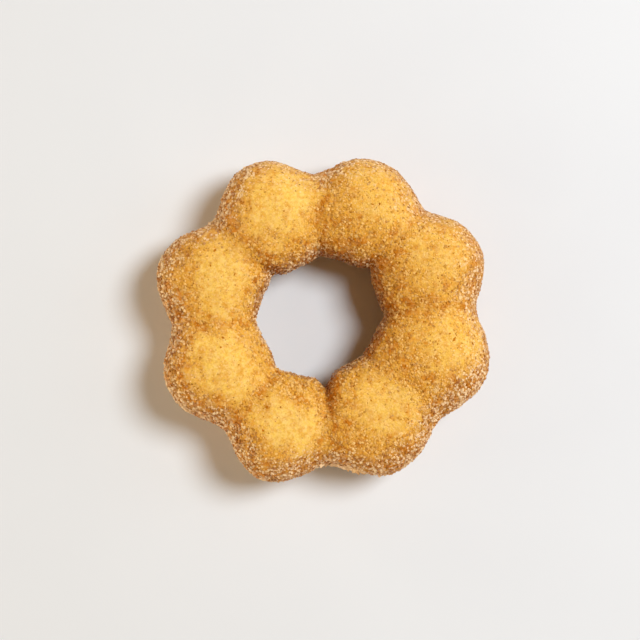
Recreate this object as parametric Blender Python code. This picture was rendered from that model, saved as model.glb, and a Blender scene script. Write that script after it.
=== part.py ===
"""Mochi doughnut: eight balls of sticky dough that fried together into one ring, rolled in sugar.

The ring lies flat, seen from above as in the photograph: +X is the picture's right, +Y its top, +Z
up. The dough of neighbouring balls has run together, so each ball swells out of a shallow waist.
"""

from collections import namedtuple
from math import atan2, cos, exp, hypot, log, pi, radians, sin

import bpy
from mathutils import Vector, noise

MM = 0.001

# Size over all. The balls are drawn a little differently from one another and then brought to it.
WIDTH = 86.0 * MM
HEIGHT = 27.0 * MM

# The balls in order round the ring, anticlockwise from the right. The angle and the distance place
# a ball's middle, and the three half sizes are the dough ball before its neighbours' dough joins it.
# The notch is the depth of the fold in the hole's rim between this ball and the next one.
Ball = namedtuple("Ball", "angle distance across along tall notch")
BALLS = (
    Ball(radians(25), 32.0 * MM, 12.0 * MM, 10.5 * MM, 12.0 * MM, 2.0 * MM),
    Ball(radians(69), 31.0 * MM, 11.5 * MM, 11.5 * MM, 12.0 * MM, 1.0 * MM),
    Ball(radians(116), 30.5 * MM, 12.5 * MM, 10.5 * MM, 12.5 * MM, 1.5 * MM),
    Ball(radians(161), 32.0 * MM, 11.5 * MM, 10.5 * MM, 11.5 * MM, 0.5 * MM),
    Ball(radians(205), 31.0 * MM, 11.5 * MM, 10.5 * MM, 12.0 * MM, 1.0 * MM),
    Ball(radians(249), 31.5 * MM, 11.5 * MM, 10.0 * MM, 12.0 * MM, 3.5 * MM),
    Ball(radians(297), 29.5 * MM, 13.0 * MM, 12.0 * MM, 12.5 * MM, 0.5 * MM),
    Ball(radians(342), 31.5 * MM, 12.5 * MM, 11.0 * MM, 12.5 * MM, 1.5 * MM),
)
LEAST_TALL = min(ball.tall for ball in BALLS)
DOUGH_FLOW = 6.5 * MM  # how far from a seam the dough of two balls has run together
NOTCH_HALF_ANGLE = radians(12)
NOTCH_SHARPNESS = 1.5  # 1 is a straight-sided V and more is a narrower fold

# Grid of the skin: columns round the ring and rows round the dough's section
RING_RADIUS = 31.0 * MM
SECTION_RADIUS = 13.0 * MM
COLUMNS = 152
ROWS = 38
THINNEST = 4.0 * MM
THICKEST = 24.0 * MM
HALVINGS = 24

# Underside, where each soft ball has settled on a flat spot
SETTLED = 1.6 * MM
SPOT_ROUNDING = 0.5 * MM

# Unevenness of the skin: broad dents from handling and smaller lumps under the sugar
DENT_SIZE, DENT_DEPTH = 15.0 * MM, 0.55 * MM
LUMP_SIZE, LUMP_DEPTH = 5.5 * MM, 0.28 * MM
NOISE_START = Vector((3.7, 1.9, 8.2))

# Torn lip of crust low on the outside, at the waist that faces the picture's lower edge
LIP_ANGLE, LIP_HALF_ANGLE = radians(281), radians(15)
LIP_RISE, LIP_HALF_RISE = -5.0 * MM, 4.0 * MM  # from mid-height
LIP_REACH, LIP_TEAR = 1.3 * MM, 3.2 * MM
LIP_MEAN, LIP_RAGGEDNESS = 0.65, 0.7  # shares of the reach

DOUGH_COLOUR = (0.79, 0.43, 0.11, 1.0)  # golden crust under cinnamon sugar, in linear light
DOUGH_ROUGHNESS = 0.75


def clear_scene():
    for thing in list(bpy.data.objects):
        bpy.data.objects.remove(thing, do_unlink=True)


def smooth_step(value):
    value = min(max(value, 0.0), 1.0)
    return value * value * (3.0 - 2.0 * value)


def outside_ball(point, ball):
    """How far the point is outside one dough ball, negative inside it.

    The balls stand level, so the middle of a taller one is higher.
    """
    across = point.x * cos(ball.angle) + point.y * sin(ball.angle) - ball.distance
    along = point.y * cos(ball.angle) - point.x * sin(ball.angle)
    up = point.z - (ball.tall - LEAST_TALL)
    share = hypot(across / ball.across, along / ball.along, up / ball.tall)
    return (share - 1.0) * (ball.across * ball.along * ball.tall) ** (1 / 3)


def outside_dough(point):
    """How far the point is outside the fused ring, where the balls' surfaces flow into one."""
    return -DOUGH_FLOW * log(sum(exp(-outside_ball(point, b) / DOUGH_FLOW) for b in BALLS))


def reach_of_dough(start, direction):
    """Distance from a point inside the dough to its skin, found by halving."""
    inside, outside = THINNEST, THICKEST
    for _ in range(HALVINGS):
        middle = (inside + outside) / 2
        if outside_dough(start + direction * middle) < 0:
            inside = middle
        else:
            outside = middle
    return inside


def unevenness(point):
    """Height of the dents and lumps at a point of the skin."""
    dent = noise.noise(point / DENT_SIZE + NOISE_START) * DENT_DEPTH
    lump = noise.noise(point / LUMP_SIZE - NOISE_START) * LUMP_DEPTH
    return dent + lump


def turned_by(angle, other):
    """The angle from other to angle, from minus half a turn to half a turn."""
    return (angle - other + pi) % (2 * pi) - pi


def rim_notch(angle, outwards):
    """Depth of the folds between the balls, which only cut the rim of the hole."""
    depth = 0.0
    for ball, following in zip(BALLS, BALLS[1:] + BALLS[:1]):
        seam = ball.angle + turned_by(following.angle, ball.angle) / 2
        near = max(1.0 - abs(turned_by(angle, seam)) / NOTCH_HALF_ANGLE, 0.0)
        depth += ball.notch * near**NOTCH_SHARPNESS
    return depth * smooth_step(-outwards)


def torn_lip(point):
    """How far the torn lip of crust stands out at a point of the skin."""
    from_lip = turned_by(atan2(point.y, point.x), LIP_ANGLE)
    along = smooth_step(1.0 - abs(from_lip) / LIP_HALF_ANGLE)
    up = smooth_step(1.0 - abs(point.z - LIP_RISE) / LIP_HALF_RISE)
    if along * up == 0.0 or hypot(point.x, point.y) < RING_RADIUS:
        return 0.0
    tear = LIP_MEAN + LIP_RAGGEDNESS * noise.noise(point / LIP_TEAR)
    return LIP_REACH * along * up * tear


def settle(height, floor):
    """The height of a point after the dough has settled on a flat floor, rounded at the spot's rim."""
    above = min(max(0.5 + (height - floor) / (2 * SPOT_ROUNDING), 0.0), 1.0)
    return floor + (height - floor) * above + SPOT_ROUNDING * above * (1.0 - above)


def shape_skin(mesh):
    """Moves each point of a plain ring straight out from the ring's middle line to the dough's skin."""
    for vertex in mesh.vertices:
        flat = Vector((vertex.co.x, vertex.co.y, 0.0)).normalized()
        start = flat * RING_RADIUS
        direction = (vertex.co - start).normalized()
        notch = rim_notch(atan2(flat.y, flat.x), direction.dot(flat))
        skin = start + direction * (reach_of_dough(start, direction) - notch)
        skin += direction * unevenness(skin) + flat * torn_lip(skin)
        vertex.co = skin


def fit_to_size(mesh):
    """Settles the dough, brings it to its width and height, and stands it on the middle of its box."""
    lowest = min(v.co.z for v in mesh.vertices)
    for vertex in mesh.vertices:
        vertex.co.z = settle(vertex.co.z, lowest + SETTLED)
    low = Vector([min(v.co[i] for v in mesh.vertices) for i in range(3)])
    high = Vector([max(v.co[i] for v in mesh.vertices) for i in range(3)])
    foot = Vector(((low.x + high.x) / 2, (low.y + high.y) / 2, low.z))
    across = WIDTH / (high.x - low.x)
    up = HEIGHT / (high.z - low.z)
    for vertex in mesh.vertices:
        vertex.co = (vertex.co - foot) * Vector((across, across, up))


def dough_material():
    material = bpy.data.materials.new("Sugared dough")
    material.use_nodes = True
    shader = material.node_tree.nodes["Principled BSDF"]
    shader.inputs["Base Color"].default_value = DOUGH_COLOUR
    shader.inputs["Roughness"].default_value = DOUGH_ROUGHNESS
    shader.inputs["Metallic"].default_value = 0.0
    return material


def make_doughnut(collection):
    bpy.ops.mesh.primitive_torus_add(
        major_radius=RING_RADIUS,
        minor_radius=SECTION_RADIUS,
        major_segments=COLUMNS,
        minor_segments=ROWS,
    )
    doughnut = bpy.context.object
    doughnut.name = doughnut.data.name = "doughnut"
    for owner in list(doughnut.users_collection):
        owner.objects.unlink(doughnut)
    collection.objects.link(doughnut)
    shape_skin(doughnut.data)
    fit_to_size(doughnut.data)
    doughnut.data.shade_smooth()
    doughnut.data.materials.append(dough_material())
    return doughnut


def main():
    clear_scene()
    collection = bpy.data.collections.new("Mochi doughnut")
    bpy.context.scene.collection.children.link(collection)
    make_doughnut(collection)


main()
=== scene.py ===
"""Looks of a mochi doughnut: eight balls of fried dough fused in a ring and rolled in cinnamon sugar.

Laid out as an add-on and run as a script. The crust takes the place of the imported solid. Grains of
sugar and specks of ground cinnamon are pressed into it, thinly on the smooth crowns of the balls and
thickly on their sides. Everything is in metres, with the doughnut flat on the floor and +Z up.
"""

from collections import namedtuple
from math import ceil, cos, pi, radians, sin, sqrt

import bpy
import numpy as np
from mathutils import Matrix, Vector, noise
from mathutils.bvhtree import BVHTree


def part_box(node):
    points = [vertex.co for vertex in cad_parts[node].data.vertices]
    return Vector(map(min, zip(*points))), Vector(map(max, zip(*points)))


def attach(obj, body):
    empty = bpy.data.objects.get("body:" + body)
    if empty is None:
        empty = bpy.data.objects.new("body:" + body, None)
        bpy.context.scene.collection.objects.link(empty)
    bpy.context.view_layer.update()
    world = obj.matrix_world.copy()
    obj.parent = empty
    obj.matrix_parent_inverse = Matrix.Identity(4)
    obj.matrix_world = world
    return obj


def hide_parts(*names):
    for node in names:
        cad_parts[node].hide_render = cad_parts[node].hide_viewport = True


bl_info = {
    "name": "Mochi Doughnut",
    "version": (1, 0, 0),
    "blender": (4, 5, 0),
    "location": "View3D > Sidebar > Doughnut",
    "description": "Dresses the packed ring of dough with a sugared crust on a studio floor",
    "category": "Mesh",
}

MM = 0.001
SOLID = "doughnut"
BODY = "root"
CRUST = "crust"

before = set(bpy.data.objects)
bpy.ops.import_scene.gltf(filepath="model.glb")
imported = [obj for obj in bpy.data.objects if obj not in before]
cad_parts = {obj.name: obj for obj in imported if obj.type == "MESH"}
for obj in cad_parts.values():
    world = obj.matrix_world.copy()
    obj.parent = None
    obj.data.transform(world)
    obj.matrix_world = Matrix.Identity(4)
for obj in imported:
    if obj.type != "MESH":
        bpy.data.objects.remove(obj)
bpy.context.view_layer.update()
SOLID_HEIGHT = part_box(SOLID)[1].z

# Grid of the crust: columns round the ring, and rows round the dough's section
RING_RADIUS = 31.0 * MM
SECTION_HEIGHT = SOLID_HEIGHT * 0.48  # of the ring's middle line
COLUMNS = 620
ROWS = 155
SOFTENING_PASSES = 9
RIM_BLEND = 3.0 * MM  # half the width over which the hole's side turns into the outer side

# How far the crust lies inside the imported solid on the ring's outer side: everywhere, so that the sugar
# reaches the solid's size, and more at the waists between some of the balls
SUGAR_ROOM = 0.25 * MM
Waist = namedtuple("Waist", "angle depth")
WAISTS = (
    Waist(radians(48), 0.9 * MM),
    Waist(radians(93), 0.5 * MM),
    Waist(radians(139), 0.6 * MM),
    Waist(radians(183), 0.35 * MM),
    Waist(radians(231), 0.9 * MM),
)
WAIST_HALF_ANGLE = radians(12)
OUTER_RANGE = (-0.2, 0.7)  # cosine of the section's turn where the outer side starts and is full
CRUST_FOOT = 0.06 * MM  # the settled spots of the crust stand this high on the lowest grains
GRAIN_FOOT = 0.04 * MM  # the lowest grains end at heights up to this, each at its own
GOLDEN_SHARE = 0.618034  # steps by this share of one spread evenly

# Smooth crowns of the balls, anticlockwise from the right. The angle and the distance place the middle of
# a crown. It is an oval whose longer half size points along the way, an azimuth, and at its edge the
# sugar is as thick as on the sides. Clear is 1 for a crown that is bare in the middle. The crease is how
# strongly amber shows between this ball and the next one: partly amber dough and partly painted shade.
Crown = namedtuple("Crown", "angle distance long wide way clear crease")
# The ovals sit off their balls' tops towards the upper right, where the key light comes from, so that
# part of their yellow is painted light.
CROWNS = (
    Crown(radians(30), 33.0 * MM, 13.0 * MM, 10.5 * MM, radians(90), 0.50, 0.2),
    Crown(radians(67), 35.0 * MM, 14.5 * MM, 9.5 * MM, radians(125), 0.58, 0.9),
    Crown(radians(110), 32.5 * MM, 15.5 * MM, 11.0 * MM, radians(77), 0.90, 0.9),
    Crown(radians(157), 27.5 * MM, 14.5 * MM, 9.5 * MM, radians(93), 0.85, 0.4),
    Crown(radians(204), 27.0 * MM, 12.5 * MM, 11.0 * MM, radians(153), 1.00, 0.9),
    Crown(radians(251), 27.5 * MM, 12.5 * MM, 9.5 * MM, radians(138), 1.00, 1.0),
    Crown(radians(305), 26.5 * MM, 12.5 * MM, 10.5 * MM, radians(142), 0.72, 0.4),
    Crown(radians(350), 33.0 * MM, 13.0 * MM, 10.0 * MM, radians(17), 0.65, 0.4),
)
CROWN_SMOOTH = 0.35  # share of an oval that is smooth

# Unevenness is noise in layers: how strong a layer is, the size of its features and its shift. A pair
# called a range is where something starts to show and where it is full.
CROWN_EDGE = ((0.32, 4.0 * MM, 0.0), (0.25, 1.3 * MM, 0.0))
CROWN_RANGE = (0.0, 0.5)  # by the height of a normal, 1 for level crust

# Slopes that differ from the others: the azimuth that they face, and the range of how far they lean
# that way
Slopes = namedtuple("Slopes", "azimuth range")
# They face away from the key light, and the amber put on them is painted shade.
SHADED_SLOPES = Slopes(radians(205), (0.15, 0.7))
# They face the key light. Fine sugar lies flat on them, and what the golden top and the crystals' colour
# gain there is painted light.
KEY_FACING_SLOPES = Slopes(radians(45), (0.1, 0.7))  # dusted with finer sugar
BROWN_SLOPES = Slopes(radians(300), (0.2, 0.8))
STAINED_SLOPES = Slopes(radians(300), (0.3, 0.9))  # more of the sugar is stained
SPECKLED_SLOPES = Slopes(radians(300), (0.0, 0.8))  # more specks of cinnamon

# Golden top: its range by the height of a normal, and what is added to that height first, everywhere, on
# the outer side, on the brown slopes and on the slopes towards the hole that face the key light, where
# the golden top is painted light
TOP_RANGE = (0.1, 0.65)
TOP_EDGE = ((0.25, 4.0 * MM, 0.0),)
TOP_RISE, TOP_OUTER, TOP_BROWN, TOP_PAINTED_LIGHT = 0.04, -0.40, -0.2, 0.18

# Amber dough where syrup soaked in, and painted shade in its colour: its range, and what adds up to it,
# in patches, in the creases, where it is partly painted shade, and on the slopes that face away from the
# key light and on the hole's walls that face the same way, where it is painted shade
SOAKED_AND_SHADE_RANGE = (0.06, 0.80)
SOAKED_PATCHES = ((1.0, 2.6 * MM, 3.0), (0.7, 1.2 * MM, 6.0))
CREASE_AMBER_AND_SHADE, SHADE_ON_SLOPES, SHADE_ON_WALLS = 0.35, 0.2, 1.7
SOAKED_AND_SHADE_ON_CROWN = 0.3  # share of it that is left on a crown
CREASE_HALF = 3.6 * MM
CREASE_REACH = 1.0  # radians either way, which leaves out the ring's far side
CREASE_RANGE = (-0.2, 0.4)  # by the height of a normal
LEVEL_RANGE = (0.3, 0.8)  # height of a normal where a wall ends

# Torn lip of crust low on the outside, towards the picture's lower edge. The firmer it is, the nearer
# to its edge it is whole.
LIP_ANGLE, LIP_HALF_ANGLE = radians(280), radians(15)
LIP_LOW, LIP_HIGH = 3.0 * MM, 20.0 * MM
LIP_FIRMNESS = 1.5
LIP_PATCH = ((1.0, 2.4 * MM, 1.0),)
LIP_RANGE = (-0.35, 0.1)  # by that noise

# Skirt of the lip: the crust is drawn in at its widest, and from there it hangs nearly straight down and
# flares to a torn edge
SKIRT_ANGLE, SKIRT_HALF_ANGLE = radians(278), radians(14)
SKIRT_FIRMNESS = 1.3
SKIRT_EDGE = radians(62)  # turn of the section, from level down to the torn edge
SKIRT_TUCK = radians(5)  # turn over which the crust goes back under the edge
SKIRT_IN, SKIRT_FLARE, SKIRT_HANG = 0.9 * MM, 1.5 * MM, 1.4 * MM
SKIRT_CURVE = 1.3  # above 1, the flare grows towards the edge
SKIRT_RAGGED = ((0.25 * MM, 1.6 * MM, 2.0),)
DRAWN_HIGH = radians(65)  # turn of the section up to which the crust is drawn in

# Thin ragged fringe along that edge
FRINGE_STEPS = 6
FRINGE_TAPER = 4  # the higher, the nearer to its ends it is whole
FRINGE_ROOT = -0.3  # share of its length that is inside the crust
FRINGE_DROP, FRINGE_REACH = 0.6 * MM, 0.65 * MM
FRINGE_THICKNESS, FRINGE_THINNING = 0.2 * MM, 0.6  # and the share of it lost by the torn edge
FRINGE_MEAN, FRINGE_LEAST, FRINGE_MOST = 0.7, 0.1, 1.4  # shares of its length
FRINGE_RAGGED = ((0.9, 1.9 * MM, 0.0), (0.6, 0.6 * MM, 0.0))
FRINGE_CURL = ((0.2 * MM, 1.2 * MM, 3.0),)

# Relief of the crust, in layers whose strengths are shares of the depths that are set
PUCKERS = ((1.0, 4.5 * MM, 5.0),)
CLUMPS = ((1.0, 1.8 * MM, 9.0), (0.7, 0.95 * MM, 2.0))
CLUMPS_ON_CROWN = 0.35
WRINKLES = ((2.0, 1.4 * MM, 4.0),)
WRINKLE_HEIGHT = 0.25 * MM
WRINKLE_SQUEEZE = (1.0, 1.0, 2.0)  # half as tall as they are wide

# What is stored at each point of the crust, and of the grains for the crust below them
SHARES = ("top", "crown", "soaked_and_shade", "lip")

# Mottling of the crust's colour: the size of a patch, the range of its noise, its colour, and how
# strong it is on the sides and on the crowns
Mottling = namedtuple("Mottling", "size range colour on_sides on_crowns")
MOTTLING = (
    Mottling(2.4 * MM, (0.40, 0.72), "#FFD880", 0.30, 0.75),
    Mottling(1.4 * MM, (0.46, 0.68), "#E08E14", 0.65, 0.62),
    Mottling(0.45 * MM, (0.42, 0.66), "#BE761C", 0.60, 0.32),
    Mottling(0.8 * MM, (0.48, 0.70), "#FFDC90", 0.50, 0.65),
)
CRUMB_SIZE, CRUMB_DEPTH = 0.35 * MM, 0.18 * MM
BUBBLE_SIZE = 0.5 * MM

# Kinds of sugar, the largest first: the piece, its size among the settings, how many places are tried,
# what share of those is left on a bare crown and where only fine sugar lies, and its random seed
Kind = namedtuple("Kind", "name size tries on_crown where_fine seed")
KINDS = (
    Kind("coarse_sugar", "coarse", 26_000, 0.03, 0.2, 1),
    Kind("broken_sugar", "broken", 52_000, 0.08, 0.6, 2),
    Kind("fine_sugar", "fine", 90_000, 0.22, 1.0, 3),
)
FINE_RANGE = (0.55, 0.95)  # by the height of a normal
MOST_GRAINS = 16_600  # of one kind, which is twelve triangles each and under 200,000 a piece

# Shares of the sugar that are left between its clumps, underneath, on amber dough and its painted shade,
# and on the torn lip
BETWEEN_CLUMPS, UNDERNEATH, ON_SOAKED_AND_SHADE, ON_LIP = 0.3, 0.45, 0.55, 0.25
SUGAR_CLUMPS = ((1.0, 2.2 * MM, 7.0),)
CLUMP_RANGE = (-0.40, 0.20)
UNDER_RANGE = (-0.9, -0.2)  # by the height of a normal

# Shape of a crystal: its size as a share of the mean, its edges as shares of its size, and how far a
# corner is off as a share of an edge
SIZE_LEAST, SIZE_MOST = 0.8, 1.2
EDGE_LEAST, EDGE_MOST = 0.75, 1.15
CORNER_OFF = 0.10
WIDEST_GRAIN = 1.5  # of the coarse size
GRAIN_ROOM = 0.95  # of the mean size of two grains, between their middles
GRAIN_LIFT, LIFT_ON_CROWN = 0.05, -0.10  # from the crust up to its middle, as shares of its size
FLAT_ON_CROWN, FLAT_ON_FINE = 0.7, 0.5  # how flat it is pressed

# How far a crystal lets the dough show through: its range, and what adds up to it, by chance, in patches,
# on the golden top, on amber dough and its painted shade, on the slopes that face the key light, where
# that extra is painted light, and on the hole's walls
THROUGH_RANGE = (-0.4, 0.6)
THROUGH_SPREAD = 0.55
THROUGH_PATCHES = ((0.9, 0.9 * MM, 8.0),)
THROUGH_TOP, THROUGH_SOAKED_AND_SHADE, THROUGH_KEY_FACING, THROUGH_WALL = 0.25, 0.1, 0.12, -0.45
VIVID_FINE = 0.6  # how far crystals vary where only fine sugar lies, against 1 elsewhere

# Share of the crystals that cinnamon coats: everywhere, in patches, on the stained slopes and on the
# hole's walls, and how much of it is left on a crown
COATED, COATED_STAINED, COATED_WALL = 0.19, 0.08, 0.28
COATED_PATCHES = ((0.40, 1.7 * MM, 5.0),)
COATED_ON_CROWN = 0.3
COAT_LEAST, DUST_MOST = 0.6, 0.25  # stain of a coated crystal at least, and of a clean one at most
STAIN_ON_TOP = 0.65  # share of the stain that is left on the golden top
EVEN_SUGAR, EVEN_SPECKS = 0.5, 0.6  # how far their shading leans towards the crust's own normal

# Specks of cinnamon: how likely one stays where it fell, by patches and slopes, and what share of
# them is left on the crowns, on the golden top and on the torn lip
SPECK_SEED, FLAKE_SEED = 4, 5
MOST_SPECKS = 16_000  # eight triangles each
TRIES_A_SPECK = 5
SPECKS_STAY = 0.6
SPECK_PATCHES = ((1.0, 2.0 * MM, 5.0),)
SPECK_LEAST, SPECK_RANGE = 0.25, (-0.1, 0.4)
SPECKS_PLAIN = 0.6  # share on slopes that aren't speckled
SPECKS_ON_CROWN, SPECKS_ON_TOP, SPECKS_ON_LIP = 0.22, 0.55, 0.3
SPECK_SPREAD = 0.42  # of the natural logarithm of its size
SPECK_CORNER_OFF = 0.08  # of a side
SPECK_LEAST_SIDES, SPECK_MOST_SIDES = (1.0, 0.5, 0.3), (1.3, 0.9, 0.6)
SPECK_LIFT, SPECK_LIFT_ON_CROWN = 0.16 * MM, 0.4  # at most, and the share of it on a crown
SPECK_FLAT = 0.6  # how flat it is pressed
DARK_SPECKS = 0.16  # share of them
LIGHT_LEAST = 0.35  # tone of the others at least
LIGHTER_ON_TOP = 0.45  # share of the way to the lightest tone

# Flakes of dry crust on the torn lip. A flake's length, thickness and raise are shares of its width,
# and its corners are off by shares of its length, width and thickness.
FLAKE_TRIES, FLAKES_STAY = 60_000, 0.15
FLAKE_RANGE = (-0.7, -0.1)  # by how far a normal points down
FLAKE_NARROW, FLAKE_WIDE = 0.5 * MM, 1.2 * MM
FLAKE_SHORT, FLAKE_LONG, FLAKE_THICK = 1.0, 1.8, 0.16
FLAKE_CORNER_OFF = (0.22, 0.22, 0.066)
FLAKE_RAISE = 0.2
FLAKE_UPWARDS, FLAKE_SPREAD = 0.7, 0.35  # how far a flake turns up, and how far its lean varies

# Camera over the middle of the ring
LENS = 90.0
SENSOR = 36.0
FRAME_WIDTH = 164.8 * MM  # what the picture spans at the ring's widest height
WIDEST_HEIGHT = 13.4 * MM
FRAME_SHIFT = -0.9 * MM

FLOOR_SIZE, FLOOR_HEIGHT = 3.0, -0.02 * MM
CLOUD_SIZE, CLOUD_SHADE = 25.0 * MM, 0.985  # clouds on the card, and their share of its brightness
FILL_COLOUR = (1.0, 0.55, 0.25, 1.0)  # warm, so that the shaded sides stay golden

# Sockets of a Mix node that mixes colours, and of one that mixes vectors
MIX_FACTOR, MIX_A, MIX_B, MIX_COLOUR = 0, 6, 7, 2
MIX_VECTOR_A, MIX_VECTOR_B, MIX_VECTOR = 4, 5, 1


def linear(code):
    """The linear colour of an sRGB hex code."""
    parts = [int(code[i : i + 2], 16) / 255 for i in (1, 3, 5)]
    return tuple(p / 12.92 if p <= 0.04045 else ((p + 0.055) / 1.055) ** 2.4 for p in parts)


def opaque(colour):
    return (*colour, 1.0)


def smooth_step(value, low=0.0, high=1.0):
    share = np.clip((value - low) / (high - low), 0.0, 1.0)
    return share * share * (3.0 - 2.0 * share)


def noise_at(points, size, shift=0.0):
    """Smooth noise between -1 and 1, with features of this size, at each point."""
    flat = (points.reshape(-1, 3) / size + shift).tolist()
    return np.array([noise.noise(p) for p in flat]).reshape(points.shape[:-1])


def uneven(points, layers):
    """Noise in layers at each point."""
    return sum(strength * noise_at(points, size, shift) for strength, size, shift in layers)


def down_to(least, share):
    """1 that goes down to the least as the share goes up to 1."""
    return 1.0 - (1.0 - least) * share


def polar(points):
    """How far each point is from the ring's axis, and its angle round it."""
    x, y = points[..., 0], points[..., 1]
    return np.hypot(x, y), np.arctan2(y, x)


def off_angle(angle, other):
    """The angle from other to angle, from minus half a turn to half a turn."""
    return (angle - other + pi) % (2 * pi) - pi


def near_angle(angle, middle, half):
    """1 at the middle angle, 0 at the half width away from it, and less beyond."""
    return 1.0 - np.abs(off_angle(angle, middle)) / half


def unit(vectors):
    return vectors / np.linalg.norm(vectors, axis=-1, keepdims=True)


def read(items, name, kind, width=1):
    """A property of each vertex, corner or face as one array."""
    found = np.empty(len(items) * width, kind)
    items.foreach_get(name, found)
    return found.reshape(-1, width) if width > 1 else found


def add_attribute(mesh, name, values, kind="FLOAT", field="value"):
    mesh.attributes.new(name, kind, "POINT").data.foreach_set(field, np.ravel(values))


def add_uvs(mesh, places):
    """The map of the crust and of the grains, named OFBake."""
    mesh.uv_layers.new(name="OFBake").uv.foreach_set("vector", np.ravel(places))


def add_node(tree, kind, inputs=None, **settings):
    """Adds a node with its settings. An input is a value, or the output of another node to link."""
    node = tree.nodes.new(kind)
    for name, value in settings.items():
        setattr(node, name, value)
    for name, value in (inputs or {}).items():
        if isinstance(value, bpy.types.NodeSocket):
            tree.links.new(value, node.inputs[name])
        else:
            node.inputs[name].default_value = value
    return node


def new_material(name):
    """A material with its nodes cleared, and its tree."""
    material = bpy.data.materials.new(name)
    material.use_nodes = True
    material.node_tree.nodes.clear()
    return material, material.node_tree


def finished(material, looks):
    """The material with its surface, which has these looks."""
    shader = add_node(material.node_tree, "ShaderNodeBsdfPrincipled", looks)
    surface = {"Surface": shader.outputs["BSDF"]}
    add_node(material.node_tree, "ShaderNodeOutputMaterial", surface)
    return material


def new_piece(mesh, material, smooth):
    """Puts a mesh in the scene as a piece of the doughnut."""
    mesh.materials.append(material)
    mesh.shade_smooth() if smooth else mesh.shade_flat()
    piece = bpy.data.objects.new(mesh.name, mesh)
    bpy.context.scene.collection.objects.link(piece)
    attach(piece, BODY)
    return piece


def size_setting(name, description, default, least=0.0):
    return bpy.props.FloatProperty(
        name=name,
        description=description,
        default=default,
        min=least,
        subtype="DISTANCE",
        unit="LENGTH",
    )


def colour_setting(name, description, code):
    return bpy.props.FloatVectorProperty(
        name=name,
        description=description,
        default=linear(code),
        min=0.0,
        max=1.0,
        subtype="COLOR",
    )


def power_setting(name, description, default):
    return bpy.props.FloatProperty(
        name=name,
        description=description,
        default=default,
        min=0.0,
        subtype="POWER",
        unit="POWER",
    )


# Crust


class CrustSettings(bpy.types.PropertyGroup):
    """Relief and colours of the fried crust"""

    pucker: size_setting("Pucker", "Depth of the broad puckers in the crust", 0.24 * MM)
    clump: size_setting("Clumps", "Height of the clumps of syrup and sugar on the sides", 0.20 * MM)
    side: colour_setting("Side", "Crust under the sugar low on the sides", "#CC8E3E")
    top: colour_setting("Top", "Golden crust between the crowns", "#F0B446")
    crown: colour_setting("Crown", "Yellow of the balls' smooth crowns", "#FCD060")
    # Its amber also paints the shade on the slopes and hole walls that face away from the key light, and
    # partly the shade in the creases.
    soaked_and_shade: colour_setting("Soaked dough", "Amber patches and creases where syrup soaked in", "#D07E12")
    lip: colour_setting("Torn lip", "Pale dry edge of the torn crust", "#E4B87E")


def inset_of(around, turn):
    """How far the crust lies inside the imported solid, by the angle round the ring and the section."""
    inset = np.full(len(around), SUGAR_ROOM)
    for waist in WAISTS:
        inset += waist.depth * smooth_step(near_angle(around, waist.angle, WAIST_HALF_ANGLE))
    return inset[:, None] * smooth_step(np.cos(turn), *OUTER_RANGE)


def cast_skin():
    """Points where lines from the ring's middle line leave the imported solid, softened and set in."""
    solid = BVHTree.FromObject(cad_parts[SOLID], bpy.context.evaluated_depsgraph_get())
    around = np.linspace(0.0, 2 * pi, COLUMNS, endpoint=False)
    turn = np.linspace(0.0, 2 * pi, ROWS, endpoint=False)
    outwards = np.stack([np.cos(around), np.sin(around), 0 * around], 1)
    starts = outwards * RING_RADIUS + (0.0, 0.0, SECTION_HEIGHT)
    up = np.array((0.0, 0.0, 1.0))
    directions = outwards[:, None] * np.cos(turn)[:, None] + up * np.sin(turn)[:, None]
    reach = np.empty((COLUMNS, ROWS))
    for i, start in enumerate(starts):
        for j, direction in enumerate(directions[i]):
            reach[i, j] = solid.ray_cast(start, direction)[3]
    for _ in range(SOFTENING_PASSES):
        for axis in (0, 1):
            reach = (np.roll(reach, 1, axis) + 2 * reach + np.roll(reach, -1, axis)) / 4
    reach = reach - inset_of(around, turn)
    return starts[:, None] + directions * reach[:, :, None]


def normals_of(skin):
    around = np.roll(skin, -1, 0) - np.roll(skin, 1, 0)
    along = np.roll(skin, -1, 1) - np.roll(skin, 1, 1)
    return unit(np.cross(around, along))


def facing(normals, slopes):
    """1 where normals lean the way that some slopes face, and 0 where they don't."""
    lean = normals[..., 0] * cos(slopes.azimuth) + normals[..., 1] * sin(slopes.azimuth)
    return smooth_step(lean, *slopes.range)


def crown_share(skin, normals):
    """1 on the smooth crown of a ball and 0 on its sides, with an uneven edge."""
    edge = uneven(skin, CROWN_EDGE)
    share = np.zeros(skin.shape[:2])
    for crown in CROWNS:
        x = skin[:, :, 0] - crown.distance * cos(crown.angle)
        y = skin[:, :, 1] - crown.distance * sin(crown.angle)
        long_way = x * cos(crown.way) + y * sin(crown.way)
        wide_way = y * cos(crown.way) - x * sin(crown.way)
        away = np.hypot(long_way / crown.long, wide_way / crown.wide) + edge
        share = np.maximum(share, crown.clear * (1.0 - smooth_step(away, CROWN_SMOOTH, 1.0)))
    return share * smooth_step(normals[:, :, 2], *CROWN_RANGE)


def outer_share(points):
    """1 on the ring's outer half and 0 towards the hole."""
    return smooth_step(polar(points)[0], RING_RADIUS - RIM_BLEND, RING_RADIUS + RIM_BLEND)


def top_share(skin, normals):
    """1 on the golden top of the ring and 0 down its browner sides."""
    outer = outer_share(skin)
    level = normals[:, :, 2] + uneven(skin, TOP_EDGE) + TOP_RISE
    level += TOP_OUTER * outer + TOP_BROWN * facing(normals, BROWN_SLOPES)
    # Painted light: the golden top spreads onto the slopes towards the hole that face the key light
    level += TOP_PAINTED_LIGHT * facing(normals, KEY_FACING_SLOPES) * (1.0 - outer)
    return smooth_step(level, *TOP_RANGE)


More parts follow.
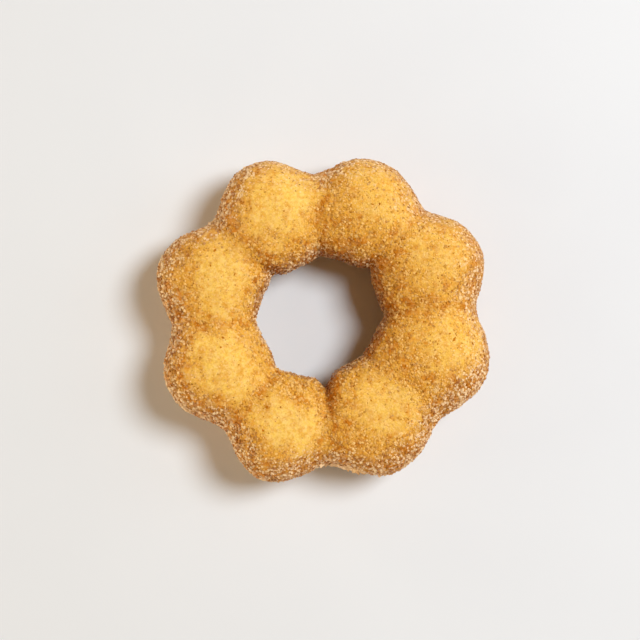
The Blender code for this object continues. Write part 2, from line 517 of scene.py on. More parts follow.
def crease_share(skin, normals):
    """1 in the creases between the balls."""
    reach, angle = polar(skin)
    share = np.zeros(skin.shape[:2])
    for ball, following in zip(CROWNS, CROWNS[1:] + CROWNS[:1]):
        seam = ball.angle + off_angle(following.angle, ball.angle) / 2
        off = off_angle(angle, seam)
        away = np.abs(reach * np.sin(off)) / CREASE_HALF
        near = np.abs(off) < CREASE_REACH
        share = np.maximum(share, ball.crease * (1.0 - smooth_step(away)) * near)
    return share * smooth_step(normals[:, :, 2], *CREASE_RANGE)


def soaked_and_shade_share(skin, normals, crown):
    """1 on amber dough and its painted shade: in patches, in the creases, where it is partly painted
    shade, and on the slopes that face away from the key light, where it is painted shade.
    """
    # Painted shade on the slopes that face away from the key light, and on the hole's walls among them
    shaded_slope = facing(normals, SHADED_SLOPES)
    inside = polar(skin)[0] < RING_RADIUS
    wall = shaded_slope * inside * (1.0 - smooth_step(normals[:, :, 2], *LEVEL_RANGE))
    amber_and_shade = CREASE_AMBER_AND_SHADE * crease_share(skin, normals) + SHADE_ON_WALLS * wall
    amber_and_shade += SHADE_ON_SLOPES * shaded_slope + uneven(skin, SOAKED_PATCHES)
    return smooth_step(amber_and_shade, *SOAKED_AND_SHADE_RANGE) * down_to(SOAKED_AND_SHADE_ON_CROWN, crown)


def lip_share(skin):
    """1 on the torn lip and 0 away from it."""
    reach, angle = polar(skin)
    near = near_angle(angle, LIP_ANGLE, LIP_HALF_ANGLE)
    middle, half = (LIP_LOW + LIP_HIGH) / 2, (LIP_HIGH - LIP_LOW) / 2
    level = 1.0 - np.abs(skin[:, :, 2] - middle) / half
    patch = smooth_step(uneven(skin, LIP_PATCH), *LIP_RANGE) * (reach > RING_RADIUS)
    return smooth_step(LIP_FIRMNESS * near) * smooth_step(LIP_FIRMNESS * level) * patch


def hang_skirt(skin):
    """Draws the crust in along the torn lip, and hangs it as a skirt below."""
    away, angle = polar(skin)
    outwards = skin * (1.0, 1.0, 0.0) / away[:, :, None]
    along = smooth_step(SKIRT_FIRMNESS * near_angle(angle, SKIRT_ANGLE, SKIRT_HALF_ANGLE))
    turn = off_angle(np.linspace(0.0, 2 * pi, ROWS, endpoint=False), 0.0)
    down = np.clip(-turn / SKIRT_EDGE, 0.0, 1.0)
    ragged = uneven(skin, SKIRT_RAGGED)
    hem = away[:, :1] - SKIRT_IN + SKIRT_FLARE * down**SKIRT_CURVE + ragged
    tucked = smooth_step(-turn, SKIRT_EDGE, SKIRT_EDGE + SKIRT_TUCK)
    hung = along * (turn < 0.0) * (1.0 - tucked)
    drawn = along * (turn >= 0.0) * (1.0 - smooth_step(turn, 0.0, DRAWN_HIGH))
    out = hung * np.maximum(hem - away, -SKIRT_IN) - drawn * (SKIRT_IN - ragged)
    moved = skin + outwards * out[:, :, None]
    moved[:, :, 2] -= hung * down * SKIRT_HANG
    return moved


def raise_relief(skin, normals, shares, settings):
    """Puckers and clumps on the skin, low on the crowns, and wrinkles on the torn lip."""
    relief = settings.pucker * uneven(skin, PUCKERS)
    relief += settings.clump * uneven(skin, CLUMPS) * down_to(CLUMPS_ON_CROWN, shares["crown"])
    wrinkles = 1.0 - np.abs(uneven(skin * WRINKLE_SQUEEZE, WRINKLES))
    relief += WRINKLE_HEIGHT * wrinkles * shares["lip"]
    skin = skin + normals * relief[:, :, None]
    skin[:, :, 2] = np.maximum(skin[:, :, 2], CRUST_FOOT)
    return skin


def grid_mesh(name, points, whole=True):
    """Tubes of quads through a grid of points, with its map: a whole ring, or one with two ends."""
    columns, rows = points.shape[:2]
    i, j = np.meshgrid(np.arange(columns if whole else columns - 1), np.arange(rows), indexing="ij")
    corners = [(i, j), (i + 1, j), (i + 1, j + 1), (i, j + 1)]
    faces = np.stack([(a % columns) * rows + b % rows for a, b in corners], 2).reshape(-1, 4)
    mesh = bpy.data.meshes.new(name)
    mesh.from_pydata(points.reshape(-1, 3), [], faces)
    add_uvs(mesh, np.stack([np.stack([a / columns, b / rows], 2) for a, b in corners], 2))
    return mesh


def add_dough_colour(tree, shares, settings):
    """Adds the nodes that mix the dough's colours by what is stored at each point."""
    colour = opaque(settings.side)
    for name in SHARES:
        over = opaque(getattr(settings, name))
        mix = {MIX_FACTOR: shares[name], MIX_A: colour, MIX_B: over}
        colour = add_node(tree, "ShaderNodeMix", mix, data_type="RGBA").outputs[MIX_COLOUR]
    return colour


def add_shares(tree, names):
    """Adds a node to read each attribute, and returns their outputs by name."""
    return {
        name: add_node(tree, "ShaderNodeAttribute", attribute_name=name).outputs["Fac"]
        for name in names
    }


def crust_material(settings):
    """Fried sticky-rice dough: golden, amber where syrup soaked in and as painted shade on the slopes
    that face away from the key light, dull under a dust of sugar.
    """
    material, tree = new_material("Fried sticky-rice dough")
    place = add_node(tree, "ShaderNodeTexCoord").outputs["Object"]
    shares = add_shares(tree, SHARES)
    colour = add_dough_colour(tree, shares, settings)
    for patch in MOTTLING:
        texture = {"Vector": place, "Scale": 1.0 / patch.size, "Detail": 3.0, "Roughness": 0.6}
        pattern = add_node(tree, "ShaderNodeTexNoise", texture)
        ends = {"Value": shares["crown"], "To Min": patch.on_sides, "To Max": patch.on_crowns}
        strength = add_node(tree, "ShaderNodeMapRange", ends)
        ends = {
            "Value": pattern.outputs["Fac"],
            "From Min": patch.range[0],
            "From Max": patch.range[1],
            "To Max": strength.outputs["Result"],
        }
        share = add_node(tree, "ShaderNodeMapRange", ends)
        over = opaque(linear(patch.colour))
        mix = {MIX_FACTOR: share.outputs["Result"], MIX_A: colour, MIX_B: over}
        colour = add_node(tree, "ShaderNodeMix", mix, data_type="RGBA").outputs[MIX_COLOUR]
    texture = {"Vector": place, "Scale": 1.0 / CRUMB_SIZE, "Detail": 2.0}
    crumb = add_node(tree, "ShaderNodeTexNoise", texture)
    relief = {"Height": crumb.outputs["Fac"], "Strength": 0.5, "Distance": CRUMB_DEPTH}
    bump = add_node(tree, "ShaderNodeBump", relief)
    ends = {"Value": shares["soaked_and_shade"], "To Min": 0.75, "To Max": 0.5}
    looks = {
        "Base Color": colour,
        "Roughness": add_node(tree, "ShaderNodeMapRange", ends).outputs["Result"],
        "IOR": 1.46,
        "Specular IOR Level": 0.12,
        "Sheen Weight": 0.35,
        "Sheen Roughness": 0.3,
        "Sheen Tint": opaque(linear("#FFF8E8")),
        "Normal": bump.outputs["Normal"],
    }
    return finished(material, looks)


class MakeCrust(bpy.types.Operator):
    """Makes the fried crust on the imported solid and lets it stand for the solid"""

    bl_idname = "mochi.make_crust"
    bl_label = "Make Crust"

    def execute(self, context):
        settings = context.scene.mochi_crust
        skin = hang_skirt(cast_skin())
        normals = normals_of(skin)
        crown = crown_share(skin, normals)
        shares = {
            "top": top_share(skin, normals),
            "crown": crown,
            "soaked_and_shade": soaked_and_shade_share(skin, normals, crown),
            "lip": lip_share(skin),
        }
        mesh = grid_mesh(CRUST, raise_relief(skin, normals, shares, settings))
        for name in SHARES:
            add_attribute(mesh, name, shares[name])
        crust = new_piece(mesh, crust_material(settings), smooth=True)
        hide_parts(SOLID)
        return {"FINISHED"}


# Sugar and cinnamon


class SugarSettings(bpy.types.PropertyGroup):
    """Sizes and colours of the sugar and the ground cinnamon"""

    coarse: size_setting("Coarse crystal", "Mean edge of a whole sugar crystal", 0.57 * MM, 0.1 * MM)
    broken: size_setting("Broken crystal", "Mean edge of a broken sugar crystal", 0.44 * MM, 0.1 * MM)
    fine: size_setting(
        "Fine crystal", "Mean edge of the finest sugar that still shows", 0.34 * MM, 0.1 * MM
    )
    speck: size_setting(
        "Cinnamon speck", "Mean length of a speck of ground cinnamon", 0.34 * MM, 0.05 * MM
    )
    pale: colour_setting("Pale sugar", "Clean sugar low on the sides", "#FFE0B4")
    golden: colour_setting(
        "Golden sugar", "Clean sugar on the top, lit through by the dough", "#FFD282"
    )
    stained: colour_setting("Stained sugar", "Sugar coated in ground cinnamon", "#A86018")
    cinnamon: colour_setting("Cinnamon", "Reddish brown of the ground bark", "#82420A")


# Corners and faces of a crystal and of a chip of bark. A square and a triangle are the corners of a
# face in its map cell, clear of the next cell.
BLOCK = np.array([(x, y, z) for z in (-0.5, 0.5) for y in (-0.5, 0.5) for x in (-0.5, 0.5)])
BLOCK_FACES = np.array(
    [(0, 2, 3, 1), (4, 5, 7, 6), (0, 1, 5, 4), (2, 6, 7, 3), (0, 4, 6, 2), (1, 3, 7, 5)]
)
SQUARE = np.array([(0.15, 0.15), (0.85, 0.15), (0.85, 0.85), (0.15, 0.85)])
CHIP = np.array([(0.5, 0, 0), (-0.5, 0, 0), (0, 0.5, 0), (0, -0.5, 0), (0, 0, 0.5), (0, 0, -0.5)])
CHIP_FACES = np.array(
    [(0, 2, 4), (2, 1, 4), (1, 3, 4), (3, 0, 4), (2, 0, 5), (1, 2, 5), (3, 1, 5), (0, 3, 5)]
)
TRIANGLE = SQUARE[[0, 1, 3]]


def places_on(mesh, count, rng):
    """Random places on the crust, even by area: their points, normals and shares by name."""
    faces = read(mesh.loops, "vertex_index", np.int32).reshape(-1, 4)
    area = np.cumsum(read(mesh.polygons, "area", np.float32).astype(float))
    corners = faces[np.searchsorted(area, rng.random(count) * area[-1])]
    u, v = rng.random((2, count))
    weights = np.stack([(1 - u) * (1 - v), u * (1 - v), u * v, (1 - u) * v], 1)
    places = {}
    for name, field in (("point", "co"), ("normal", "normal")):
        values = read(mesh.vertices, field, np.float32, 3).astype(float)
        places[name] = (values[corners] * weights[:, :, None]).sum(1)
    places["normal"] = unit(places["normal"])
    for name in SHARES:
        values = read(mesh.attributes[name].data, "value", np.float32).astype(float)
        places[name] = (values[corners] * weights).sum(1)
    return places


def picked(places, which):
    """The chosen ones of some places."""
    return {name: values[which] for name, values in places.items()}


def fine_slope(places):
    """1 on the outer slopes that face the key light, where fine sugar lies flat."""
    return facing(places["normal"], KEY_FACING_SLOPES) * outer_share(places["point"])


def fine_share(places):
    """1 where only fine sugar lies: on level dough and on the outer slopes that face the key light."""
    return np.maximum(smooth_step(places["normal"][:, 2], *FINE_RANGE), fine_slope(places))


def sugar_left(kind, places):
    """Share of one kind of sugar that is left at each place."""
    clump = smooth_step(uneven(places["point"], SUGAR_CLUMPS), *CLUMP_RANGE)
    under = smooth_step(places["normal"][:, 2], *UNDER_RANGE)
    left = down_to(kind.on_crown, places["crown"]) * down_to(ON_SOAKED_AND_SHADE, places["soaked_and_shade"])
    left *= down_to(BETWEEN_CLUMPS, 1.0 - clump) * down_to(UNDERNEATH, 1.0 - under)
    return left * down_to(kind.where_fine, fine_share(places)) * down_to(ON_LIP, places["lip"])


def random_turns(count, rng):
    """A random rotation matrix for each grain."""
    x, y, z, w = unit(rng.normal(size=(4, count)).T).T
    rows = (
        (1 - 2 * (y * y + z * z), 2 * (x * y - z * w), 2 * (x * z + y * w)),
        (2 * (x * y + z * w), 1 - 2 * (x * x + z * z), 2 * (y * z - x * w)),
        (2 * (x * z - y * w), 2 * (y * z + x * w), 1 - 2 * (x * x + y * y)),
    )
    return np.stack([np.stack(row, 1) for row in rows], 1)


def flattened(turns, normals, share):
    """The same rotations, each with the grain pressed flat along the crust's normal by a share."""
    along = np.einsum("ni,nij->nj", normals, turns)
    return turns - share[:, None, None] * normals[:, :, None] * along[:, None]


class Bed:
    """The crust's surface as it fills with grains, kept in cells as wide as the widest grain."""

    def __init__(self, widest):
        self.widest = widest
        self.cells = {}

    def lay(self, points, sizes, most):
        """Lays grains one by one where they have room, and returns which of them were laid."""
        laid = []
        cell_of = np.floor(points / self.widest).astype(int).tolist()
        for k, (point, size) in enumerate(zip(points.tolist(), sizes.tolist())):
            if self.has_room(cell_of[k], point, size):
                self.cells.setdefault(tuple(cell_of[k]), []).append((*point, size))
                laid.append(k)
                if len(laid) == most:
                    break
        return np.array(laid)

    def has_room(self, cell, point, size):
        x, y, z = point
        for i in range(cell[0] - 1, cell[0] + 2):
            for j in range(cell[1] - 1, cell[1] + 2):
                for k in range(cell[2] - 1, cell[2] + 2):
                    for ox, oy, oz, other in self.cells.get((i, j, k), ()):
                        room = GRAIN_ROOM * (size + other) / 2
                        if (x - ox) ** 2 + (y - oy) ** 2 + (z - oz) ** 2 < room * room:
                            return False
        return True


def joined_mesh(name, shape, shape_faces, cell, sizes, turns, middles):
    """Copies of one small shape as one mesh, each sized, turned and placed, with a map cell a face."""
    corners = np.einsum("nij,nvj->nvi", turns, shape * sizes) + middles[:, None]
    foot = GRAIN_FOOT * (np.arange(len(middles)) * GOLDEN_SHARE % 1.0)
    corners[:, :, 2] = np.maximum(corners[:, :, 2], foot[:, None])
    first = np.arange(len(middles)) * shape.shape[-2]
    faces = (shape_faces[None] + first[:, None, None]).reshape(-1, shape_faces.shape[1])
    mesh = bpy.data.meshes.new(name)
    mesh.from_pydata(corners.reshape(-1, 3), [], faces)
    across = ceil(sqrt(len(faces)))
    index = np.arange(len(faces))
    origin = np.stack([index % across, index // across], 1)
    add_uvs(mesh, (origin[:, None] + cell) / across)
    return mesh


def add_even_normal(tree, evenness):
    """Adds the nodes for a normal that leans from a grain's own face towards the crust's."""
    lean = add_node(tree, "ShaderNodeAttribute", attribute_name="lean")
    crust = add_node(
        tree,
        "ShaderNodeVectorTransform",
        {"Vector": lean.outputs["Vector"]},
        vector_type="NORMAL",
        convert_from="OBJECT",
        convert_to="WORLD",
    )
    face = add_node(tree, "ShaderNodeNewGeometry")
    mix = {
        MIX_FACTOR: evenness,
        MIX_VECTOR_A: face.outputs["Normal"],
        MIX_VECTOR_B: crust.outputs["Vector"],
    }
    between = {"Vector": add_node(tree, "ShaderNodeMix", mix, data_type="VECTOR").outputs[MIX_VECTOR]}
    even = add_node(tree, "ShaderNodeVectorMath", between, operation="NORMALIZE")
    return even.outputs["Vector"]


def add_lean(mesh, normals, corners):
    """Stores the crust's normal at each grain's corners."""
    add_attribute(mesh, "lean", np.repeat(normals, corners, axis=0), "FLOAT_VECTOR", "vector")


def sugar_material(settings, dough):
    """Granulated sugar: see-through crystals, tinted by the dough below and by cinnamon dust.

    Light that scatters inside a crystal evens out its faces, so the shading leans towards the
    crust's own normal.
    """
    material, tree = new_material("Granulated sugar")
    shares = add_shares(tree, SHARES + ("through", "stain"))
    below = add_dough_colour(tree, shares, dough)
    colour = opaque(settings.pale)
    for name, over in (
        ("top", opaque(settings.golden)),
        ("through", below),
        ("stain", opaque(settings.stained)),
    ):
        mix = {MIX_FACTOR: shares[name], MIX_A: colour, MIX_B: over}
        colour = add_node(tree, "ShaderNodeMix", mix, data_type="RGBA").outputs[MIX_COLOUR]
    looks = {
        "Base Color": colour,
        "Roughness": 0.35,
        "IOR": 1.54,
        "Specular IOR Level": 0.16,
        "Specular Tint": opaque(linear("#FFECC8")),
        "Sheen Weight": 0.35,
        "Sheen Roughness": 0.3,
        "Sheen Tint": opaque(linear("#FFE8BC")),
        "Normal": add_even_normal(tree, EVEN_SUGAR),
    }
    return finished(material, looks)


def flake_material(lip):
    """Dry fried crust: thin, matt and tan with brown bubbles, paler where it is thinnest."""
    material, tree = new_material("Dry fried crust")
    tone = add_node(tree, "ShaderNodeAttribute", attribute_name="tone").outputs["Fac"]
    mix = {MIX_FACTOR: tone, MIX_A: opaque(lip), MIX_B: opaque(linear("#FFDEB4"))}
    colour = add_node(tree, "ShaderNodeMix", mix, data_type="RGBA").outputs[MIX_COLOUR]
    place = add_node(tree, "ShaderNodeTexCoord").outputs["Object"]
    texture = {"Vector": place, "Scale": 1.0 / BUBBLE_SIZE, "Detail": 3.0}
    bubbles = add_node(tree, "ShaderNodeTexNoise", texture)
    ends = {"Value": bubbles.outputs["Fac"], "From Min": 0.5, "From Max": 0.7, "To Max": 0.7}
    share = add_node(tree, "ShaderNodeMapRange", ends).outputs["Result"]
    mix = {MIX_FACTOR: share, MIX_A: colour, MIX_B: opaque(linear("#B47838"))}
    colour = add_node(tree, "ShaderNodeMix", mix, data_type="RGBA").outputs[MIX_COLOUR]
    looks = {"Base Color": colour, "Roughness": 0.7, "IOR": 1.46}
    return finished(material, looks)


def cinnamon_material(settings):
    """Ground cinnamon bark: dry, matt and reddish brown, lighter where a speck is split."""
    material, tree = new_material("Ground cinnamon")
    tone = add_node(tree, "ShaderNodeAttribute", attribute_name="tone").outputs["Fac"]
    mix = {MIX_FACTOR: tone, MIX_A: opaque(settings.cinnamon), MIX_B: opaque(linear("#CC7E18"))}
    colour = add_node(tree, "ShaderNodeMix", mix, data_type="RGBA").outputs[MIX_COLOUR]
    looks = {
        "Base Color": colour,
        "Roughness": 0.85,
        "IOR": 1.5,
        "Specular IOR Level": 0.1,
        "Normal": add_even_normal(tree, EVEN_SPECKS),
    }
    return finished(material, looks)


def crust_mesh():
    """The crust's mesh, which has to be made before what lies on it."""
    crust = bpy.data.objects.get(CRUST)
    if crust is None:
        raise RuntimeError("make the crust first")
    return crust.data


class MakeSugar(bpy.types.Operator):
    """Presses coarse, broken and fine sugar into the crust, the largest crystals first"""

    bl_idname = "mochi.make_sugar"
    bl_label = "Make Sugar"

    def execute(self, context):
        settings = context.scene.mochi_sugar
        mesh = crust_mesh()
        material = sugar_material(settings, context.scene.mochi_crust)
        bed = Bed(settings.coarse * WIDEST_GRAIN)
        for kind in KINDS:
            rng = np.random.default_rng(kind.seed)
            places = places_on(mesh, kind.tries, rng)
            places = picked(places, rng.random(kind.tries) < sugar_left(kind, places))
            spread = rng.uniform(SIZE_LEAST, SIZE_MOST, len(places["point"]))
            sizes = getattr(settings, kind.size) * spread
            laid = bed.lay(places["point"], sizes, MOST_GRAINS)
            self.join(kind.name, picked(places, laid), sizes[laid], rng, material)
        return {"FINISHED"}

    def join(self, name, places, size, rng, material):
        count, corners = len(size), len(BLOCK)
        point, normal = places["point"], places["normal"]
        crown, top = places["crown"], places["top"]
        edges = size[:, None, None] * rng.uniform(EDGE_LEAST, EDGE_MOST, (count, 1, 3))
        shapes = BLOCK + rng.uniform(-CORNER_OFF, CORNER_OFF, (count, corners, 3))
        lift = size * (GRAIN_LIFT + (LIFT_ON_CROWN - GRAIN_LIFT) * crown)
        middles = point + normal * lift[:, None]
        flat = np.maximum(FLAT_ON_CROWN * crown, FLAT_ON_FINE * fine_slope(places))
        turns = flattened(random_turns(count, rng), normal, flat)
        mesh = joined_mesh(name, shapes, BLOCK_FACES, SQUARE, edges, turns, middles)
        vivid = down_to(VIVID_FINE, fine_share(places))
        wall = (1.0 - outer_share(point)) * (1.0 - top)
        see = rng.normal(0.0, THROUGH_SPREAD, count) + uneven(point, THROUGH_PATCHES)
        see = vivid * see + THROUGH_TOP * top + THROUGH_SOAKED_AND_SHADE * places["soaked_and_shade"]
        # Painted light: on the slopes that face the key light the crystals take more of the dough's
        # colour, so that they stand out less
        see += THROUGH_KEY_FACING * fine_slope(places) + THROUGH_WALL * wall
        dusted = COATED + vivid * uneven(point, COATED_PATCHES)
        dusted += COATED_STAINED * facing(normal, STAINED_SLOPES) + COATED_WALL * wall
        coated = rng.random(count) < dusted * down_to(COATED_ON_CROWN, crown)
        coat = rng.uniform(COAT_LEAST, 1.0, count)
        stain = np.where(coated, coat, rng.uniform(0.0, DUST_MOST, count))
        stored = {share: places[share] for share in SHARES}
        stored["through"] = smooth_step(see, *THROUGH_RANGE)
        stored["stain"] = stain * down_to(STAIN_ON_TOP, top)
        for share, values in stored.items():
            add_attribute(mesh, share, np.repeat(values, corners))
        add_lean(mesh, normal, corners)
        new_piece(mesh, material, smooth=False)


class MakeCinnamon(bpy.types.Operator):
    """Dusts the crust with specks of ground cinnamon"""

    bl_idname = "mochi.make_cinnamon"
    bl_label = "Make Cinnamon"

    def execute(self, context):
        settings = context.scene.mochi_sugar
        rng = np.random.default_rng(SPECK_SEED)
        tries = MOST_SPECKS * TRIES_A_SPECK
        places = places_on(crust_mesh(), tries, rng)
        stay = SPECK_LEAST + smooth_step(uneven(places["point"], SPECK_PATCHES), *SPECK_RANGE)
        stay *= down_to(SPECKS_PLAIN, 1.0 - facing(places["normal"], SPECKLED_SLOPES))
        stay *= down_to(SPECKS_ON_CROWN, places["crown"]) * down_to(SPECKS_ON_TOP, places["top"])
        stay *= down_to(SPECKS_ON_LIP, places["lip"])
        kept = np.flatnonzero(rng.random(tries) < SPECKS_STAY * stay)[:MOST_SPECKS]
        places = picked(places, kept)
        count, corners = len(kept), len(CHIP)
        size = settings.speck * np.exp(rng.normal(0.0, SPECK_SPREAD, count))
        shapes = CHIP + rng.uniform(-SPECK_CORNER_OFF, SPECK_CORNER_OFF, (count, corners, 3))
        sides = rng.uniform(SPECK_LEAST_SIDES, SPECK_MOST_SIDES, (count, 1, 3))
        edges = size[:, None, None] * sides
        lift = rng.uniform(0.0, SPECK_LIFT, count) * down_to(SPECK_LIFT_ON_CROWN, places["crown"])
        flat = np.full(count, SPECK_FLAT)
        turns = flattened(random_turns(count, rng), places["normal"], flat)
        middles = places["point"] + places["normal"] * lift[:, None]
        mesh = joined_mesh("ground_cinnamon", shapes, CHIP_FACES, TRIANGLE, edges, turns, middles)
        dark = rng.random(count) < DARK_SPECKS
        tone = np.where(dark, 0.0, rng.uniform(LIGHT_LEAST, 1.0, count))
        tone += (1.0 - tone) * LIGHTER_ON_TOP * places["top"]
        add_attribute(mesh, "tone", np.repeat(tone, corners))
        add_lean(mesh, places["normal"], corners)
        new_piece(mesh, cinnamon_material(settings), smooth=False)
        return {"FINISHED"}


def fringe_skin(mesh):
    """A grid of points round the section of a ragged fringe, and how near each is to its torn edge."""
    skin = read(mesh.vertices, "co", np.float32, 3).astype(float).reshape(COLUMNS, ROWS, 3)
    first = round((SKIRT_ANGLE - SKIRT_HALF_ANGLE) / (2 * pi) * COLUMNS)
    last = round((SKIRT_ANGLE + SKIRT_HALF_ANGLE) / (2 * pi) * COLUMNS)
    root = skin[first : last + 1, -int(SKIRT_EDGE / (2 * pi) * ROWS)]
    outwards = unit(root * (1.0, 1.0, 0.0))
    along = np.linspace(-1.0, 1.0, len(root))
    taper = 1.0 - along**FRINGE_TAPER
    ragged = FRINGE_MEAN + uneven(root, FRINGE_RAGGED)
    length = np.clip(ragged, FRINGE_LEAST, FRINGE_MOST) * taper
    share = np.linspace(FRINGE_ROOT, 1.0, FRINGE_STEPS)
    hang = (length[:, None] * share)[:, :, None]
    curl = uneven(root, FRINGE_CURL)[:, None] * share
    out = (hang[:, :, 0] * FRINGE_REACH + curl)[:, :, None] * outwards[:, None]
    middle = root[:, None] + out + hang * (0.0, 0.0, -FRINGE_DROP)
    half = outwards[:, None] * (FRINGE_THICKNESS / 2 * taper)[:, None, None]
    half = half * (1.0 - FRINGE_THINNING * share)[:, None]
    points = np.concatenate([middle + half, (middle - half)[:, ::-1]], 1)
    edge = np.broadcast_to(np.maximum(share, 0.0), (len(root), FRINGE_STEPS))
    return points, np.concatenate([edge, edge[:, ::-1]], 1)


class MakeFringe(bpy.types.Operator):
    """Adds the ragged fringe of dry crust along the torn lip's edge"""

    bl_idname = "mochi.make_fringe"
    bl_label = "Make Fringe"

    def execute(self, context):
        points, edge = fringe_skin(crust_mesh())
        mesh = grid_mesh("torn_fringe", points, whole=False)
        add_attribute(mesh, "tone", edge)
        new_piece(mesh, flake_material(context.scene.mochi_crust.lip), smooth=True)
        return {"FINISHED"}


class MakeFlakes(bpy.types.Operator):
    """Lifts thin flakes of dry crust along the torn lip"""

    bl_idname = "mochi.make_flakes"
    bl_label = "Make Flakes"

    def execute(self, context):
        rng = np.random.default_rng(FLAKE_SEED)
        places = places_on(crust_mesh(), FLAKE_TRIES, rng)
        low = smooth_step(-places["normal"][:, 2], *FLAKE_RANGE)
        chance = places["lip"] * low * FLAKES_STAY
        places = picked(places, rng.random(FLAKE_TRIES) < chance)
        normals = places["normal"]
        count, corners = len(normals), len(BLOCK)
        size = rng.uniform(FLAKE_NARROW, FLAKE_WIDE, count)
        shapes = BLOCK + rng.uniform(-1.0, 1.0, (count, corners, 3)) * FLAKE_CORNER_OFF
        length = size * rng.uniform(FLAKE_SHORT, FLAKE_LONG, count)
        edges = np.stack([length, size, size * FLAKE_THICK], 1)
        lean = rng.normal(0.0, FLAKE_SPREAD, (count, 3))
        lifted = unit(normals + (0.0, 0.0, FLAKE_UPWARDS) + lean)
        along = unit(np.cross((0.0, 0.0, 1.0), lifted))
        turns = np.stack([along, np.cross(lifted, along), lifted], 2)
        middles = places["point"] + normals * (size * FLAKE_RAISE)[:, None]
        edges = edges[:, None]
        mesh = joined_mesh("crust_flakes", shapes, BLOCK_FACES, SQUARE, edges, turns, middles)
        add_attribute(mesh, "tone", np.repeat(rng.random(count), corners))
        new_piece(mesh, flake_material(context.scene.mochi_crust.lip), smooth=False)
        return {"FINISHED"}


# Stage


class StageSettings(bpy.types.PropertyGroup):
    """Floor and light of the studio"""

    floor: colour_setting("Floor", "Pale floor under the doughnut", "#E8EEF8")
    key: power_setting("Key light", "Power of the soft light from the upper right", 6.85)
    window: power_setting(
        "Window light", "Power of the wide light that comes in lower from the same side", 0.9
    )
    reflector: power_setting(
        "Reflectors", "Power of each light that comes back low from the sides", 0.72
    )
    fill: bpy.props.FloatProperty(
        name="Fill light",
        description="Strength of the even light from all round",
        default=0.20,
        min=0.0,
    )


# Round lamps that face the ring: where each stands, how wide it is, its colour and its share of the
# power that is set
Lamp = namedtuple("Lamp", "name azimuth elevation distance size colour share")
KEY = Lamp("key", radians(25), radians(58), 0.9, 0.36, (0.96, 0.99, 0.97), 1.0)
WINDOW = Lamp("window", radians(12), radians(28), 0.9, 0.50, (0.96, 0.98, 1.0), 1.0)
REFLECTOR_SHARES = {55: 0.28, 105: 0.4, 150: 1.2, 185: 1.6, 220: 1.4, 255: 0.9, 290: 0.65}
REFLECTORS = [
    Lamp("reflector", radians(azimuth), radians(7), 0.6, 0.26, (1.0, 0.945, 0.72), share)
    for azimuth, share in REFLECTOR_SHARES.items()
]


def floor_material(settings):
    """Matt card: pale, even and dull, with the faint cloudiness of pressed fibres."""
    material, tree = new_material("Matt card")
    place = add_node(tree, "ShaderNodeTexCoord").outputs["Object"]
    texture = {"Vector": place, "Scale": 1.0 / CLOUD_SIZE, "Detail": 2.0}
    cloud = add_node(tree, "ShaderNodeTexNoise", texture)
    shaded = opaque([c * CLOUD_SHADE for c in settings.floor])
    mix = {MIX_FACTOR: cloud.outputs["Fac"], MIX_A: opaque(settings.floor), MIX_B: shaded}
    colour = add_node(tree, "ShaderNodeMix", mix, data_type="RGBA").outputs[MIX_COLOUR]
    looks = {"Base Color": colour, "Roughness": 0.9}
    return finished(material, looks)


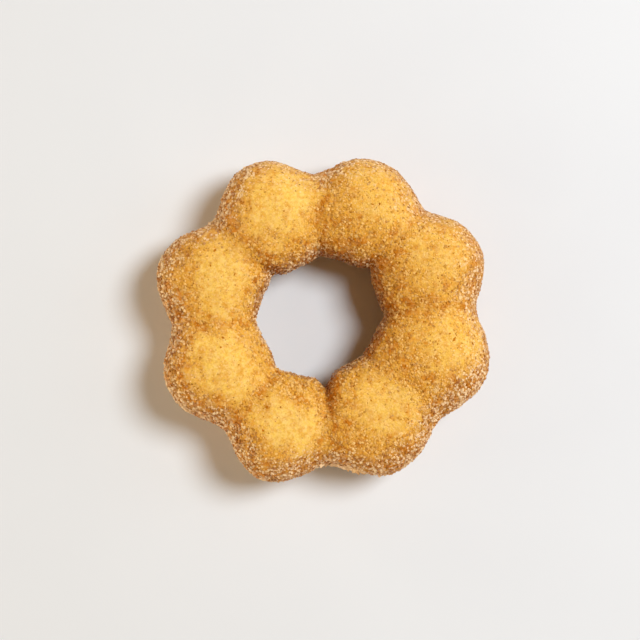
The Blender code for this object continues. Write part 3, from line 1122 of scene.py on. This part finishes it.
class MakeStage(bpy.types.Operator):
    """Makes the floor, the soft light and the camera over the ring"""

    bl_idname = "mochi.make_stage"
    bl_label = "Make Stage"

    def execute(self, context):
        settings = context.scene.mochi_stage
        bpy.ops.mesh.primitive_plane_add(size=FLOOR_SIZE, location=(0.0, 0.0, FLOOR_HEIGHT))
        floor = context.object
        floor.name = "floor"
        floor.data.materials.append(floor_material(settings))
        self.add_lamp(KEY, settings.key)
        self.add_lamp(WINDOW, settings.window)
        for lamp in REFLECTORS:
            self.add_lamp(lamp, settings.reflector)
        self.add_fill(context.scene, settings)
        self.add_camera(context.scene)
        context.scene.view_settings.view_transform = "Standard"
        return {"FINISHED"}

    def add_lamp(self, lamp, power):
        light = bpy.data.lights.new(lamp.name, "AREA")
        light.shape = "DISK"
        light.size = lamp.size
        light.energy = power * lamp.share
        light.color = lamp.colour
        level = cos(lamp.elevation)
        x, y = level * cos(lamp.azimuth), level * sin(lamp.azimuth)
        towards = Vector((x, y, sin(lamp.elevation)))
        holder = bpy.data.objects.new(lamp.name, light)
        holder.location = towards * lamp.distance
        holder.rotation_euler = towards.to_track_quat("Z", "Y").to_euler()
        holder.visible_camera = False
        bpy.context.scene.collection.objects.link(holder)

    def add_fill(self, scene, settings):
        world = bpy.data.worlds.new("Studio")
        world.use_nodes = True
        background = world.node_tree.nodes["Background"]
        background.inputs["Color"].default_value = FILL_COLOUR
        background.inputs["Strength"].default_value = settings.fill
        scene.world = world

    def add_camera(self, scene):
        camera = bpy.data.objects.new("camera", bpy.data.cameras.new("camera"))
        camera.data.lens = LENS
        camera.data.sensor_width = SENSOR
        distance = FRAME_WIDTH * LENS / SENSOR
        camera.location = (FRAME_SHIFT, 0.0, WIDEST_HEIGHT + distance)
        scene.collection.objects.link(camera)
        scene.camera = camera


class DoughnutPanel(bpy.types.Panel):
    """Lists what makes the doughnut, with its sizes and colours"""

    bl_idname = "MOCHI_PT_doughnut"
    bl_label = "Mochi Doughnut"
    bl_space_type = "VIEW_3D"
    bl_region_type = "UI"
    bl_category = "Doughnut"

    def draw(self, context):
        for settings, operators in (
            (context.scene.mochi_crust, (MakeCrust,)),
            (context.scene.mochi_sugar, (MakeSugar, MakeCinnamon, MakeFringe, MakeFlakes)),
            (context.scene.mochi_stage, (MakeStage,)),
        ):
            box = self.layout.box()
            for operator in operators:
                box.operator(operator.bl_idname)
            for name in settings.__annotations__:
                box.prop(settings, name)


CLASSES = (
    CrustSettings,
    SugarSettings,
    StageSettings,
    MakeCrust,
    MakeSugar,
    MakeCinnamon,
    MakeFringe,
    MakeFlakes,
    MakeStage,
    DoughnutPanel,
)


def register():
    for cls in CLASSES:
        bpy.utils.register_class(cls)
    bpy.types.Scene.mochi_crust = bpy.props.PointerProperty(type=CrustSettings)
    bpy.types.Scene.mochi_sugar = bpy.props.PointerProperty(type=SugarSettings)
    bpy.types.Scene.mochi_stage = bpy.props.PointerProperty(type=StageSettings)


def unregister():
    del bpy.types.Scene.mochi_stage
    del bpy.types.Scene.mochi_sugar
    del bpy.types.Scene.mochi_crust
    for cls in reversed(CLASSES):
        bpy.utils.unregister_class(cls)


def main():
    register()
    bpy.ops.mochi.make_crust()
    bpy.ops.mochi.make_sugar()
    bpy.ops.mochi.make_cinnamon()
    bpy.ops.mochi.make_fringe()
    bpy.ops.mochi.make_flakes()
    bpy.ops.mochi.make_stage()


if __name__ == "__main__":
    main()
